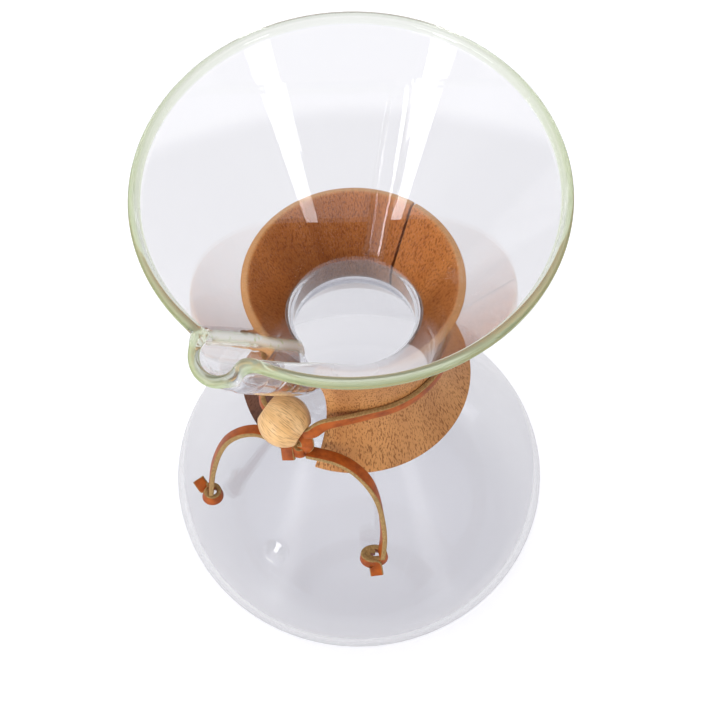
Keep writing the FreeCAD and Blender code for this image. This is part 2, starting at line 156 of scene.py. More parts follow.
def spread(tree, value, low, high, start=0.0, end=1.0, smooth=False):
    settings = {"interpolation_type": "SMOOTHSTEP" if smooth else "LINEAR",
                "From Min": low, "From Max": high, "To Min": start, "To Max": end}
    return addNode(tree, "ShaderNodeMapRange", settings, {"Value": value}).outputs["Result"]


def bumpNormal(tree, shader, height, strength, depth):
    bump = addNode(tree, "ShaderNodeBump", {"Strength": strength, "Distance": depth},
                   {"Height": height})
    tree.links.new(bump.outputs["Normal"], shader.inputs["Normal"])


# beech: soft growth bands and short dark ray flecks, both drawn out along the grain
beech = {
    "bandSquash": 0.2, "bandRange": (0.33, 0.67), "fleckRange": (0.51, 0.64),
    "fleckRoughness": 0.25, "fleckBump": 0.25, "fleckDepth": 0.0002,
}


def beechGroup():
    group, given, out = newGroup(
        "beechGrain",
        [("Vector", "NodeSocketVector", (0, 0, 0)),
         ("Light", "NodeSocketColor", (0.6, 0.34, 0.16, 1)),
         ("Dark", "NodeSocketColor", (0.36, 0.17, 0.07, 1)),
         ("Fleck Colour", "NodeSocketColor", (0.13, 0.05, 0.02, 1)),
         ("Band Scale", "NodeSocketFloat", 60.0),
         ("Fleck Scale", "NodeSocketFloat", 1800.0),
         ("Fleck Length", "NodeSocketFloat", 3.0),
         ("Fleck Amount", "NodeSocketFloat", 0.7)],
        [("Color", "NodeSocketColor"), ("Fleck", "NodeSocketFloat"), ("Height", "NodeSocketFloat")])
    place = given.outputs["Vector"]
    drawnBand = addNode(group, "ShaderNodeMapping", {"Scale": (1.0, 1.0, beech["bandSquash"])},
                        {"Vector": place})
    band = addNode(group, "ShaderNodeTexNoise", {"Detail": 4.0, "Roughness": 0.55, "Distortion": 0.6},
                   {"Vector": drawnBand.outputs["Vector"], "Scale": given.outputs["Band Scale"]})
    body = mixColours(group, spread(group, band.outputs["Fac"], *beech["bandRange"]),
                      given.outputs["Dark"], given.outputs["Light"])
    sides = addNode(group, "ShaderNodeSeparateXYZ", links={"Vector": place})
    drawn = addNode(group, "ShaderNodeCombineXYZ", links={
        "X": sides.outputs["X"], "Y": sides.outputs["Y"],
        "Z": maths(group, "DIVIDE", sides.outputs["Z"], given.outputs["Fleck Length"])})
    fleck = addNode(group, "ShaderNodeTexNoise", {"Detail": 2.0, "Roughness": 0.5},
                    {"Vector": drawn.outputs["Vector"], "Scale": given.outputs["Fleck Scale"]})
    share = maths(group, "MULTIPLY", spread(group, fleck.outputs["Fac"], *beech["fleckRange"]),
                  given.outputs["Fleck Amount"])
    group.links.new(mixColours(group, share, body, given.outputs["Fleck Colour"]), out.inputs["Color"])
    group.links.new(share, out.inputs["Fleck"])
    group.links.new(maths(group, "MULTIPLY", share, -1.0), out.inputs["Height"])
    return group


beechGrain = beechGroup()


# the collar's painted shading and its wear: a redder painted shade on the inside, a painted shadow
# beside the gap and a worn top edge
def collarShadeAndWear(tree, colour, split, reach, look):
    height = split.outputs["Z"]
    # painted shade: the inside of the upper flare is tinted redder, standing for the warm shade it lies
    # in behind the funnel glass
    edge = maths(tree, "ADD", maths(tree, "MULTIPLY", height, look["insideSlope"]),
                 look["insideReach"])
    inside = spread(tree, maths(tree, "SUBTRACT", edge, reach), *look["insideSoft"])
    # painted shadow beside the gap on the left half, where the bead and lip shade its lower flare
    gapShaded = mixColours(tree, 1.0, colour, look["gapShadeTint"], "MULTIPLY")
    gapShade = maths(tree, "MULTIPLY",
                  spread(tree, split.outputs["X"], *look["gapShadeSide"], smooth=True),
                  spread(tree, split.outputs["Y"], *look["gapShadeFront"], smooth=True))
    gapShade = maths(tree, "MULTIPLY", gapShade, spread(tree, height, *look["gapShadeTop"], smooth=True))
    outside = mixColours(tree, gapShade, colour, gapShaded)
    # the top edge is worn pale
    worn = maths(tree, "MULTIPLY", look["edgeWear"],
                 spread(tree, height, look["edgeHeight"], look["edgeHeight"] + mm))
    pale = mixColours(tree, 1.0, look["Light"], look["edgeTint"], "MULTIPLY")
    outside = mixColours(tree, worn, outside, pale)
    # the painted shade inside the upper flare
    insideShaded = mixColours(tree, 1.0, colour, look["insidePaintedShade"], "MULTIPLY")
    return mixColours(tree, inside, outside, insideShaded)


def woodMaterial(name, look):
    material, tree, shader = newMaterial(name)
    centred = addNode(tree, "ShaderNodeVectorMath", {"operation": "SUBTRACT"}, {0: objectPlace(tree)})
    centred.inputs[1].default_value = look["middle"]
    laid = addNode(tree, "ShaderNodeMapping", {"Rotation": look["grainTurn"]},
                   {"Vector": centred.outputs["Vector"]})
    split = addNode(tree, "ShaderNodeSeparateXYZ", links={"Vector": laid.outputs["Vector"]})
    x, y, z = (split.outputs[axis] for axis in "XYZ")
    reach = maths(tree, "SQRT", maths(tree, "ADD", maths(tree, "POWER", x, 2.0),
                                      maths(tree, "POWER", y, 2.0)))
    # the flecks run along the slopes of the turned ring, and from end to end of the bead's round face
    run = addNode(tree, "ShaderNodeCombineXYZ", links={
        "X": maths(tree, "MULTIPLY", maths(tree, "DIVIDE", x, reach), look["waist"]),
        "Y": maths(tree, "MULTIPLY", maths(tree, "DIVIDE", y, reach), look["waist"]),
        "Z": maths(tree, "ADD", z, maths(tree, "MULTIPLY", reach, look["slope"]))})
    grain = addNode(tree, "ShaderNodeGroup", {"node_tree": beechGrain})
    tree.links.new(run.outputs["Vector"], grain.inputs["Vector"])
    for word in ("Light", "Dark", "Fleck Colour"):
        grain.inputs[word].default_value = (*look[word], 1)
    for word in ("Band Scale", "Fleck Scale", "Fleck Length", "Fleck Amount"):
        grain.inputs[word].default_value = look[word]
    colour = grain.outputs["Color"]
    if look["isCollar"]:
        colour = collarShadeAndWear(tree, colour, split, reach, look)
    tree.links.new(colour, shader.inputs["Base Color"])
    rough = spread(tree, grain.outputs["Fleck"], 0.0, 1.0,
                   look["roughness"], look["roughness"] + beech["fleckRoughness"])
    tree.links.new(rough, shader.inputs["Roughness"])
    bumpNormal(tree, shader, grain.outputs["Height"], beech["fleckBump"], beech["fleckDepth"])
    shader.inputs["Specular IOR Level"].default_value = look["specular"]
    return material


# the right half has no painted shadow by the gap: its mask would start far outside the wood
collarLook = {
    "isCollar": True, "roughness": 0.5, "specular": 0.3,
    "Light": (0.64, 0.30, 0.10), "Dark": (0.47, 0.195, 0.058), "Fleck Colour": (0.17, 0.05, 0.012),
    "Band Scale": 55.0, "Fleck Scale": 2200.0, "Fleck Length": 2.9, "Fleck Amount": 0.74,
    "middle": (0, 0, 0), "grainTurn": (0, 0, 0), "waist": 0.034, "slope": 0.3,
    "insideSlope": 0.5085, "insideReach": -0.0469, "insideSoft": (-0.0003, 0.0005),
    # painted shade: a redder tint for the inside of the upper flare
    "insidePaintedShade": (1.20, 0.90, 0.61),
    # a painted shadow beside the gap: where it lies, and its tint
    "gapShadeSide": (0.4, 0.5), "gapShadeFront": (-0.018, -0.024), "gapShadeTop": (0.131, 0.118),
    "gapShadeTint": (1.0, 1.0, 1.0),
    "edgeHeight": 0.1594, "edgeWear": 0.8, "edgeTint": (1.25, 1.45, 2.0),
}
# the left half is cut from a darker board, and beside the gap, where the bead and lip shade it, a
# painted shadow darkens it
darkHalfLook = dict(
    collarLook, Light=(0.52, 0.215, 0.065), Dark=(0.37, 0.14, 0.038),
    # its painted inside shade is lifted to suit the darker board, and its painted gap shadow is dark
    insidePaintedShade=(1.30, 1.04, 0.77), gapShadeSide=(-0.034, -0.029), gapShadeTint=(0.22, 0.15, 0.11),
    edgeTint=(1.5, 1.9, 2.6))
beadPoints = np.array([vert.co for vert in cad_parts["bead"].data.vertices])
beadLook = {
    "isCollar": False, "roughness": 0.34, "specular": 0.45,
    "Light": (0.96, 0.63, 0.30), "Dark": (0.80, 0.46, 0.18), "Fleck Colour": (0.34, 0.14, 0.04),
    "Band Scale": 150.0, "Fleck Scale": 3100.0, "Fleck Length": 9.0, "Fleck Amount": 0.6,
    "middle": (beadPoints.min(0) + beadPoints.max(0)) / 2,
    "grainTurn": (0, math.radians(69.5), 0), "waist": 0.0088, "slope": 0.0,
}
collarWood = woodMaterial("collarBeech", collarLook)
darkWood = woodMaterial("collarBeechDark", darkHalfLook)
beadWood = woodMaterial("beadBeech", beadLook)
for node, wood in (("collar_half_left", darkWood), ("collar_half_right", collarWood),
                   ("bead", beadWood)):
    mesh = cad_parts[node].data
    mesh.materials.clear()
    mesh.materials.append(wood)
print("wooden collar and bead finished")


# leather: a smooth, mottled dyed face, raw tan edges and a fine fibre pattern
leather = {
    "face": (0.47, 0.105, 0.012), "faceDark": (0.25, 0.048, 0.006), "edge": (0.47, 0.29, 0.115),
    "roughness": 0.5, "edgeRoughness": 0.8, "specular": 0.25,
    "mottleScale": 260.0, "mottleRange": (0.32, 0.62),
    "fibreScale": 1500.0, "fibreRange": (0.35, 0.65), "fibreShade": 0.6,
    "fibreBump": 0.35, "fibreDepth": 0.00015,
}


def leatherMaterial():
    material, tree, shader = newMaterial("laceLeather")
    place = objectPlace(tree)
    mottle = clouds(tree, place, leather["mottleScale"], 5.0, 0.6)
    face = ramp(tree, mottle, list(zip(leather["mottleRange"], (leather["faceDark"], leather["face"]))))
    fibre = clouds(tree, place, leather["fibreScale"], 3.0)
    edgeDark = [c * leather["fibreShade"] for c in leather["edge"]]
    raw = ramp(tree, fibre, list(zip(leather["fibreRange"], (edgeDark, leather["edge"]))))
    side = painted(tree, "rawEdge")
    tree.links.new(mixColours(tree, side, face, raw), shader.inputs["Base Color"])
    rough = spread(tree, side, 0.0, 1.0, leather["roughness"], leather["edgeRoughness"])
    tree.links.new(rough, shader.inputs["Roughness"])
    shader.inputs["Specular IOR Level"].default_value = leather["specular"]
    bumpNormal(tree, shader, fibre, leather["fibreBump"], leather["fibreDepth"])
    return material


laceLeather = leatherMaterial()


# glass: clear, green and a little milky where the rolled rim is thick, and a painted white
# highlight along the channel's ridge
glassLook = {
    "clear": (0.93, 0.93, 0.94), "ior": 1.47, "bounces": 3.5,
    # the rim's outer edge gets a painted shade, a darker green standing for the dark line glass shows
    # along that edge
    "rim": (0.70, 0.78, 0.50), "rimEdgeShade": (0.44, 0.52, 0.28), "rimMilk": 0.62,
    # the ridge gets a painted white highlight, broken by pale green dots
    "ridgeHighlight": (1.0, 1.0, 0.94), "ridgeHighlightShare": 0.9, "highlightDotScale": 420.0, "highlightDotRange": (0.30, 0.42),
    "flaskShade": (0.88, 0.88, 0.895), "funnelShade": (0.965, 0.965, 0.97),
    "shadeRange": (0.12, 0.15),
}


def glassMaterial():
    material, tree, shader = newMaterial("blownGlass")
    shader.inputs["Transmission Weight"].default_value = 1.0
    shader.inputs["Roughness"].default_value = 0.0
    shader.inputs["IOR"].default_value = glassLook["ior"]
    place = objectPlace(tree)
    split = addNode(tree, "ShaderNodeSeparateXYZ", links={"Vector": place})
    rim, ridgeHighlight, edge = (painted(tree, layer) for layer in ("rimSide", "ridgeHighlight", "rimEdgeShadeMask"))
    tree.links.new(mixColours(tree, rim, glassLook["clear"], glassLook["rim"]),
                   shader.inputs["Base Color"])
    # the milky share: green on the rim with a painted shade on its outer edge, and along the ridge a
    # painted white highlight broken by pale green dots
    milkAndHighlightDiffuse = addNode(tree, "ShaderNodeBsdfDiffuse")
    highlightDots = clouds(tree, place, glassLook["highlightDotScale"])
    ridgeHighlit = mixColours(tree, spread(tree, highlightDots, *glassLook["highlightDotRange"]),
                        glassLook["rim"], glassLook["ridgeHighlight"])
    rolled = mixColours(tree, edge, glassLook["rim"], glassLook["rimEdgeShade"])
    tree.links.new(mixColours(tree, ridgeHighlight, rolled, ridgeHighlit), milkAndHighlightDiffuse.inputs["Color"])
    milkAndHighlightShare = maths(tree, "MAXIMUM", maths(tree, "MULTIPLY", rim, glassLook["rimMilk"]),
                  maths(tree, "MULTIPLY", ridgeHighlight, glassLook["ridgeHighlightShare"]))
    solid = addNode(tree, "ShaderNodeMixShader",
                    links={0: milkAndHighlightShare, 1: shader.outputs["BSDF"], 2: milkAndHighlightDiffuse.outputs["BSDF"]})
    # lamps shine through the glass, and light that has run round inside the wall comes out again
    path = addNode(tree, "ShaderNodeLightPath")
    trapped = maths(tree, "GREATER_THAN", path.outputs["Ray Depth"], glassLook["bounces"])
    leaves = maths(tree, "MAXIMUM", trapped,
                   maths(tree, "MAXIMUM", path.outputs["Is Shadow Ray"], path.outputs["Is Diffuse Ray"]))
    through = addNode(tree, "ShaderNodeBsdfTransparent")
    tree.links.new(mixColours(tree, spread(tree, split.outputs["Z"], *glassLook["shadeRange"]),
                              glassLook["flaskShade"], glassLook["funnelShade"]),
                   through.inputs["Color"])
    mixed = addNode(tree, "ShaderNodeMixShader",
                    links={0: leaves, 1: solid.outputs["Shader"], 2: through.outputs["BSDF"]})
    tree.links.new(mixed.outputs["Shader"], tree.nodes["Material Output"].inputs["Surface"])
    return material


blownGlass = glassMaterial()
print("materials ready")


def finishPiece(name, form, material):
    mesh = bpy.data.meshes.new(name)
    form.to_mesh(mesh)
    form.free()
    piece = bpy.data.objects.new(name, mesh)
    piece.data.materials.append(material)
    bpy.context.collection.objects.link(piece)
    return piece


def clamp(value, low=0, high=1):
    return min(max(value, low), high)


# the glass vessel, in millimetres and degrees
vessel = {
    "heelRadius": 28.0, "wall": 2.6, "flaskLean": 24.0, "neckRadius": 22.6,
    "neckLow": 129.19, "neckTop": 143.3, "neckBlend": 12.0, "rimRadius": 66.1, "rimHeight": 214.1,
    "rimBead": 1.9, "top": 216.0,
    # spacing along the outline, and points round the rim and round the vessel
    "step": 1.35, "beadSteps": 10, "around": 232, "merge": 0.0004,
    # where the rim's green is strongest and how it fades inwards and behind, and where the painted shade
    # on its outer edge begins
    "rimThick": 35.0, "rimFloor": 0.62, "rimBack": 0.2, "rimGain": 1.3,
    "greenFrom": -0.15, "greenRun": 0.35, "edgeFrom": 0.66, "edgeRun": 0.12,
    # the channel's outer half width and its reach, at each height
    "channelHeights": (128.0, 132.0, 139.0, 145.4, 150.0, 162.6, 178.4, 191.8, 205.0, 213.8, 216.5),
    "channelWidths": (6.2, 6.6, 7.2, 7.5, 7.6, 7.7, 9.3, 9.5, 9.3, 9.1, 9.0),
    "channelReaches": (17.0, 21.6, 31.6, 37.6, 40.8, 49.3, 59.2, 67.4, 74.0, 77.9, 78.4),
    # how softly the channel runs into the funnel: at its foot, in the collar and at the lip
    "channelBlend": 3.6, "footBlend": 0.02, "footRun": 8.0, "collarPass": (164.0, 173.0),
    "collarBlend": 0.35, "lipBlend": {"left": 1.4, "right": 5.0}, "lipDepth": 9.0,
    # the half angle and the share of the columns that the channel takes, and its turn
    "channelSpan": 34.0, "channelShare": 0.46, "channelTrials": 361, "twist": -1.2, "twistRun": 0.5,
    # where along the ridge the painted highlight runs, and how narrow it is
    "ridgeLow": 141.0, "ridgeHigh": 213.0, "ridgePower": 1.6,
    # how far inside and outside the plain ring the channel's wall is looked for
    "searchIn": 4.0, "searchLeast": 1.0, "searchOut": 8.0, "halvings": 34,
    # the lip's droop and lean, the button on the flask and the nubs beside the lip
    "lipLow": 190.0, "lipFrom": 68.5, "lipRun": 10.0, "lipMost": 1.2,
    "lipDroop": 1.4, "droopPower": 1.5, "lipLean": 1.5,
    "buttonHeight": 58.4, "buttonSide": 1.7, "buttonRadius": 4.4, "buttonStand": 1.3,
    "buttonSquash": 1.09, "buttonReach": 8.0,
    "nubs": ((-12.0, -68.2, 2.1), (7.6, -73.0, 2.3)), "nubDepth": 4.0, "nubSwell": 0.3, "nubPush": 1.1,
}


# points along straight runs whose corners are rounded; each corner is (reach, height, radius)
def roundedRun(corners, step):
    line = [Vector(corners[0][:2])]
    for before, corner, after in zip(corners, corners[1:], corners[2:]):
        here = Vector(corner[:2])
        back = (Vector(before[:2]) - here).normalized()
        on = (Vector(after[:2]) - here).normalized()
        half = back.angle(on) / 2
        cut = corner[2] / math.tan(half)
        centre = here + (back + on).normalized() * (corner[2] / math.sin(half))
        start, end = here + back * cut - centre, here + on * cut - centre
        turn = start.angle_signed(end)
        count = max(2, int(abs(turn) * corner[2] / step))
        for i in range(count + 1):
            line.append(centre + Matrix.Rotation(-turn * i / count, 2) @ start)
    line.append(Vector(corners[-1][:2]))
    filled = [line[0]]
    for a, b in zip(line, line[1:]):
        count = max(1, round((b - a).length / step))
        filled += [a.lerp(b, (i + 1) / count) for i in range(count)]
    return filled


# the outline from under the foot, over the rim, to the floor inside: reach, height, offset from the
# middle of the wall, and on the rim how squarely each point looks outwards
def vesselProfile():
    v = vessel
    half = v["wall"] / 2
    lean = math.tan(math.radians(v["flaskLean"]))
    neck = v["neckRadius"] - half
    # the heel's arc is the rounded corner between the foot and the flask's cone
    coneOut = neck + (v["neckLow"] - half) * lean
    middle = roundedRun([(0.0, half, 0), (coneOut, half, v["heelRadius"] - half),
                         (neck, v["neckLow"], v["neckBlend"]), (neck, v["neckTop"], v["neckBlend"]),
                         (v["rimRadius"], v["rimHeight"], 0)], v["step"])
    outer, inner = [], []
    for i, point in enumerate(middle):
        along = (middle[min(i + 1, len(middle) - 1)] - middle[max(i - 1, 0)]).normalized()
        side = Vector((along.y, -along.x)) if i else Vector((0, -1))
        outer.append((*(point + side * half), half, None))
        inner.append((*(point - side * half), -half, None))
    along = (middle[-1] - middle[-2]).normalized()
    centre = middle[-1]
    reach = math.asin(half / v["rimBead"])
    low = math.atan2(along.y, along.x) - math.pi + reach
    rolled = []
    for i in range(v["beadSteps"] + 1):
        angle = low + (2 * math.pi - 2 * reach) * i / v["beadSteps"]
        out = v["rimBead"] * math.cos(angle)
        rolled.append((centre.x + out, centre.y + v["rimBead"] * math.sin(angle), out, math.cos(angle)))
    return outer[:-2] + rolled + inner[:-2][::-1]


# how far the glass stands out at each angle from -Y, with a ring and the channel's slot run
# together, and where they meet, the share that takes the ridge's painted highlight
def channelSection(reach, height, offset, angles):
    v = vessel
    foot = v["channelHeights"][0]
    if height < foot:
        return np.full(len(angles), reach), np.zeros(len(angles))
    outer = v["wall"] / 2 - offset
    half = np.interp(height, v["channelHeights"], v["channelWidths"]) - outer
    tip = np.interp(height, v["channelHeights"], v["channelReaches"]) - outer
    near = np.clip((height - (v["rimHeight"] - v["lipDepth"])) / v["lipDepth"], 0, 1)
    lipBlend = np.where(angles < 0, v["lipBlend"]["left"], v["lipBlend"]["right"])
    blend = v["channelBlend"] * (1 - near) + lipBlend * near
    blend = blend * np.clip((height - foot) / v["footRun"], v["footBlend"], 1)
    if offset > 0:
        # within the collar the outer corners are tighter, and clear the wood
        blend = blend * np.interp(height, v["collarPass"], (v["collarBlend"], 1.0))
    low = np.full(len(angles), max(reach - v["searchIn"], v["searchLeast"]))
    high = np.full(len(angles), max(reach, tip) + v["searchOut"])
    for _ in range(v["halvings"]):
        far = (low + high) / 2
        x, y = far * np.sin(angles), far * np.cos(angles)
        ring = far - reach
        slot = np.hypot(x, np.where(y > tip - half, y - (tip - half), np.where(y < 0, y, 0))) - half
        mix = np.clip(0.5 + 0.5 * (slot - ring) / blend, 0, 1)
        joined = slot * (1 - mix) + ring * mix - blend * mix * (1 - mix)
        inside = joined < 0
        low, high = np.where(inside, far, low), np.where(inside, high, far)
    return (low + high) / 2, (4 * mix * (1 - mix)) ** v["ridgePower"]


# columns spaced evenly along the channel's own outline: their angles, reaches and shares of the ridge's
# painted highlight
def channelAngles(reach, height, offset, count):
    span = math.radians(vessel["channelSpan"])
    fine = np.linspace(-span, span, vessel["channelTrials"])
    far, ridgeHighlight = channelSection(reach, height, offset, fine)
    x, y = far * np.sin(fine), far * np.cos(fine)
    run = np.r_[0, np.cumsum(np.hypot(np.diff(x), np.diff(y)))]
    picked = np.interp(np.linspace(0, run[-1], count + 1), run, fine)
    return picked, np.interp(picked, fine, far), np.interp(picked, fine, ridgeHighlight)


# how green the rolled rim is, and how strong the painted shade on its outer edge, a darker green
# standing for the dark line glass shows there; it is thickest on the lip's side
def rimGreenAndEdgeShade(outward, angle):
    v = vessel
    front = (1 + math.cos(angle - math.radians(v["rimThick"]))) / 2
    strength = min(v["rimBack"] + v["rimGain"] * front, 1)
    green = max(clamp((outward - v["greenFrom"]) / v["greenRun"]), v["rimFloor"] * front ** 2)
    return green * strength, clamp((outward - v["edgeFrom"]) / v["edgeRun"]) * strength


def makeVessel():
    v = vessel
    profile = vesselProfile()
    form = bmesh.new()
    # kept on the vertices: the rim's green, the painted shade on its outer edge and the painted
    # highlight along the ridge
    rimLayer, edgeShadeLayer, ridgeHighlightLayer = (
        form.verts.layers.float.new(word) for word in ("rimSide", "rimEdgeShadeMask", "ridgeHighlight"))
    line = [form.verts.new((r, 0, z)) for r, z, *_ in profile]
    edges = [form.edges.new(pair) for pair in zip(line, line[1:])]
    bmesh.ops.spin(form, geom=line + edges, cent=(0, 0, 0), axis=(0, 0, 1), angle=2 * math.pi,
                   steps=v["around"], use_merge=True)
    bmesh.ops.remove_doubles(form, verts=form.verts, dist=v["merge"])
    # every vertex knows its outline point by its reach and height
    lookup = {(round(r, 3), round(z, 3)): i for i, (r, z, *_) in enumerate(profile)}
    inChannel = round(v["around"] * v["channelShare"] / 2) * 2
    rest = v["around"] - inChannel
    span, twist = math.radians(v["channelSpan"]), math.radians(v["twist"])
    columns = {}
    for vert in form.verts:
        reach, height = math.hypot(vert.co.x, vert.co.y), vert.co.z
        if reach < 0.01:  # the middles of the foot and of the floor inside
            continue
        i = lookup.get((round(reach, 3), round(height, 3)))
        if i is None:
            i = min(range(len(profile)),
                    key=lambda k: abs(profile[k][0] - reach) + abs(profile[k][1] - height))
        ringReach, _, offset, outward = profile[i]
        column = round(math.atan2(vert.co.x, -vert.co.y) / (2 * math.pi) * v["around"])
        column = (column + inChannel // 2) % v["around"]
        if i not in columns:
            columns[i] = channelAngles(*profile[i][:3], inChannel)
        if column <= inChannel:
            angle, far, ridgeHighlight = (row[column] for row in columns[i])
        else:
            angle = span + (column - inChannel) / rest * (2 * math.pi - 2 * span)
            far, ridgeHighlight = ringReach, 0.0
        if outward is not None:
            vert[rimLayer], vert[edgeShadeLayer] = rimGreenAndEdgeShade(outward, angle)
        # the painted highlight along the ridge, on the inner wall only
        vert[ridgeHighlightLayer] = ridgeHighlight if offset < 0 and v["ridgeLow"] < height < v["ridgeHigh"] else 0.0
        # the channel is turned a little, and the glass beside it takes up the turn
        share = clamp((span - abs(angle)) / (span * v["twistRun"]))
        angle += twist * share * share * (3 - 2 * share)
        x, y, z = far * math.sin(angle), -far * math.cos(angle), height
        # the lip sinks and leans a little towards its tip
        past = clamp((far - v["lipFrom"]) / v["lipRun"], 0, v["lipMost"])
        if height > v["lipLow"] and past > 0:
            x += v["lipLean"] * past
            z -= v["lipDroop"] * past ** v["droopPower"]
        # the two soft nubs where the lip leaves the rim
        if height > v["rimHeight"] - v["nubDepth"]:
            for nubX, nubY, size in v["nubs"]:
                near = math.exp(-((x - nubX) ** 2 + (y - nubY) ** 2) / size ** 2)
                z += (z - v["rimHeight"]) * v["nubSwell"] * near
                x += v["nubPush"] * near * math.copysign(1, nubX)
                vert[rimLayer] *= 1 - near
        # the round button on the flask's outside
        up = height - v["buttonHeight"]
        if offset > 0 and abs(up) < v["buttonReach"]:
            away = math.hypot(far * angle - v["buttonSide"], up * v["buttonSquash"]) / v["buttonRadius"]
            if away < 1:
                lift = v["buttonStand"] * math.sqrt(1 - away ** 2)
                x += lift * math.sin(angle)
                y -= lift * math.cos(angle)
        vert.co = (x, y, min(z, v["top"]))
    bmesh.ops.scale(form, vec=(mm, mm, mm), verts=form.verts)
    bmesh.ops.recalc_face_normals(form, faces=form.faces)
    for face in form.faces:
        face.smooth = True
    return finishPiece("glassVessel", form, blownGlass)


glass = makeVessel()
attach(glass, "root")
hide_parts("glass_carafe")
print("glass vessel made", len(glass.data.polygons))


# the leather lace, in millimetres; its raw edges take in most of its rounded corners
lace = {
    "width": 4.4, "thickness": 1.7, "round": 0.42, "roundSteps": 3, "rawShare": 0.9,
    "curveSteps": 10,
}
bead = {"middle": (-2.5, -38.0, 124.7), "tilt": 15.0, "mouth": 8.75}


# a point given from the bead's middle: along its hole, towards -Y and up from its hole
def beadPlace(along, across=0.0, lift=0.0):
    turned = Matrix.Rotation(math.radians(bead["tilt"]), 3, "Y") @ Vector((along, -across, lift))
    return turned + Vector(bead["middle"])


# the smooth line of an open NURBS spline along a route in millimetres
def smoothLine(points, name):
    data = bpy.data.curves.new(name, "CURVE")
    data.dimensions = "3D"
    data.resolution_u = lace["curveSteps"]
    spline = data.splines.new("NURBS")
    spline.points.add(len(points) - 1)
    for place, point in zip(spline.points, points):
        place.co = (*(Vector(point) * mm), 1)
    spline.order_u = 3
    spline.use_endpoint_u = True
    guide = bpy.data.objects.new(name, data)
    bpy.context.collection.objects.link(guide)
    mesh = bpy.data.meshes.new_from_object(guide)
    line = [vert.co / mm for vert in mesh.vertices]
    bpy.data.objects.remove(guide)
    bpy.data.meshes.remove(mesh)
    return line


# the strap's section, a rectangle with rounded corners, and which of its points lie on the raw edges
def sectionCorners(width):
    places, raw = [], []
    radius, steps = lace["round"], lace["roundSteps"]
    for quarter, (a, b) in enumerate(((1, 1), (-1, 1), (-1, -1), (1, -1))):
        for i in range(steps + 1):
            angle = math.radians(90 * quarter + 90 * i / steps)
            across = a * (width / 2 - radius) + radius * math.cos(angle)
            out = b * (lace["thickness"] / 2 - radius) + radius * math.sin(angle)
            places.append((across, out))
            raw.append(abs(across) > width / 2 - radius * lace["rawShare"])
    return places, raw


# a flat strap along a line; faces says which way its smooth side looks, at even shares of its length
def strap(name, line, faces, width=lace["width"]):
    places, raw = sectionCorners(width)
    faces = [Vector(f) for f in faces]
    shares = np.linspace(0, 1, len(faces))
    form = bmesh.new()
    rawLayer = form.verts.layers.float.new("rawEdge")
    ring, edges = [], []
    for i, point in enumerate(line):
        along = (line[min(i + 1, len(line) - 1)] - line[max(i - 1, 0)]).normalized()
        here = i / (len(line) - 1)
        want = Vector([float(np.interp(here, shares, [f[k] for f in faces])) for k in range(3)])
        out = (want - along * want.dot(along)).normalized()
        across = out.cross(along).normalized()
        if not ring:
            ring = [form.verts.new((0, 0, 0)) for _ in places]
            edges = [form.edges.new(pair) for pair in zip(ring, ring[1:] + ring[:1])]
            first = list(ring)
        else:
            made = bmesh.ops.extrude_edge_only(form, edges=edges)["geom"]
            fresh = [e for e in made if isinstance(e, bmesh.types.BMVert)]
            linked = []
            for old in ring:
                others = [e.other_vert(old) for e in old.link_edges]
                linked.append([vert for vert in others if vert in fresh][0])
            ring = linked
            edges = [form.edges.get(pair) for pair in zip(ring, ring[1:] + ring[:1])]
        for vert, (a, b), isRaw in zip(ring, places, raw):
            vert.co = (point + across * a + out * b) * mm
            vert[rawLayer] = 1.0 if isRaw else 0.0
    # both ends are cut raw, and an inset without width keeps that off the sides
    for loop in (first, ring):
        face = form.faces.new(loop)
        bmesh.ops.inset_region(form, faces=[face])
        for vert in face.verts:
            vert[rawLayer] = 1.0
    bmesh.ops.recalc_face_normals(form, faces=form.faces)
    for face in form.faces:
        face.smooth = True
    return finishPiece(name, form, laceLeather)


def lacePiece(piece, *nodes):
    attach(piece, "root")
    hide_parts(*nodes)
    return piece


# the band leaves the bead at its right mouth, runs round the collar and comes back through the bead
band = {
    "reach": 32.1, "height": 131.5, "loop": (-48, 223, 10), "faceSteps": 41,
    "right": [beadPlace(bead["mouth"] - 1.6, 0, 1.0), beadPlace(bead["mouth"] + 0.8, -0.6, 2.0),
              (9.8, -34.0, 128.2), (14.3, -30.6, 130.0), (18.4, -27.2, 131.0)],
    "left": [(-20.6, -25.4, 130.7), (-15.9, -30.3, 129.2), (-13.0, -35.6, 127.7),
             beadPlace(-bead["mouth"] + 0.4), beadPlace(-bead["mouth"] / 2),
             beadPlace(bead["mouth"] - 2.6, 0, -0.4)],
}


def makeBand():
    turns = [math.radians(a) for a in range(*band["loop"])]
    loop = [(band["reach"] * math.cos(a), band["reach"] * math.sin(a), band["height"]) for a in turns]
    line = smoothLine(band["right"] + loop + band["left"], "bandRoute")
    # its smooth side looks away from the collar
    faces = []
    for share in np.linspace(0, 1, band["faceSteps"]):
        point = line[round(share * (len(line) - 1))]
        faces.append(Vector((point.x, point.y, 0)).normalized())
    return strap("laceBand", line, faces)


lacePiece(makeBand(), "tie_waist_band")
print("lace band made")


# several lengths of lace as one piece
def joined(name, parts):
    form = bmesh.new()
    for part in parts:
        form.from_mesh(part.data)
        old = part.data
        bpy.data.objects.remove(part)
        bpy.data.meshes.remove(old)
    for face in form.faces:
        face.smooth = True
    return finishPiece(name, form, laceLeather)


